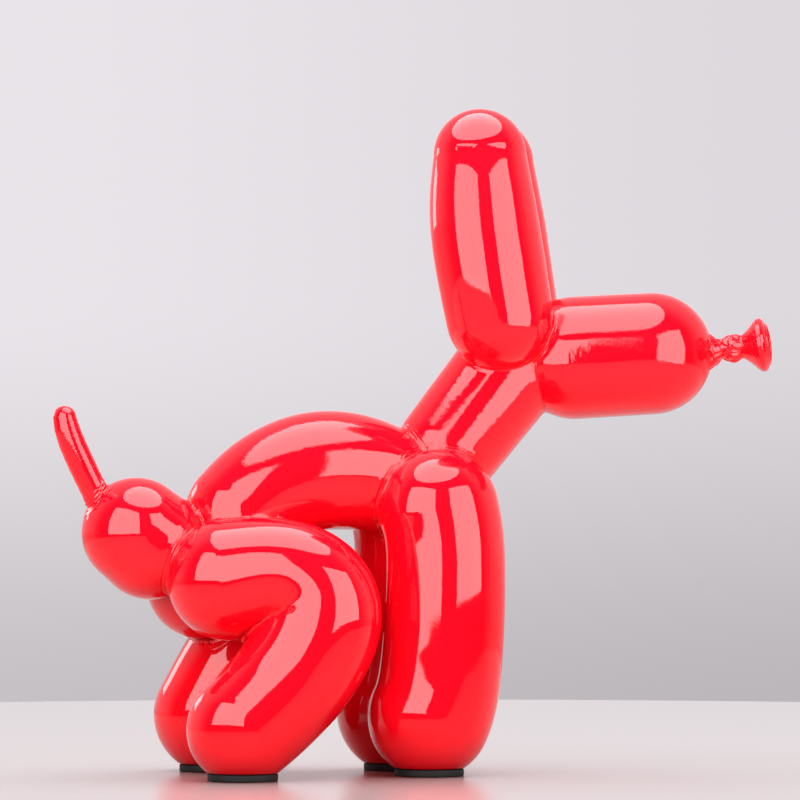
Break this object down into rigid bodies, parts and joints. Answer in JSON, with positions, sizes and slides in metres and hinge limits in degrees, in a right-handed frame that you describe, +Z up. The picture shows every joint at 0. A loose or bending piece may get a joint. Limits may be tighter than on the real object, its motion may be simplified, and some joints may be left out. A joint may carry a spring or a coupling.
{
  "type": "balloon poodle",
  "caption": "Glossy cast resin ornament of a squatting poodle twisted from a long balloon, standing on round stick-on foot pads.",
  "frame": {"origin": "on the floor, under the middle of the whole figure's box", "axes": "+X from the tail towards the nozzle on the muzzle, +Y towards the figure's left side, +Z up"},
  "size_m": [0.2296, 0.093, 0.212],
  "materials": {
    "red_lacquer": "glossy red lacquer over cast resin",
    "black_rubber": "matte black rubber"
  },
  "bodies": {
    "root": {"poodle": "red_lacquer", "foot_pad_front_left": "black_rubber", "foot_pad_front_right": "black_rubber", "foot_pad_hind_left": "black_rubber", "foot_pad_hind_right": "black_rubber"}
  },
  "joints": []
}
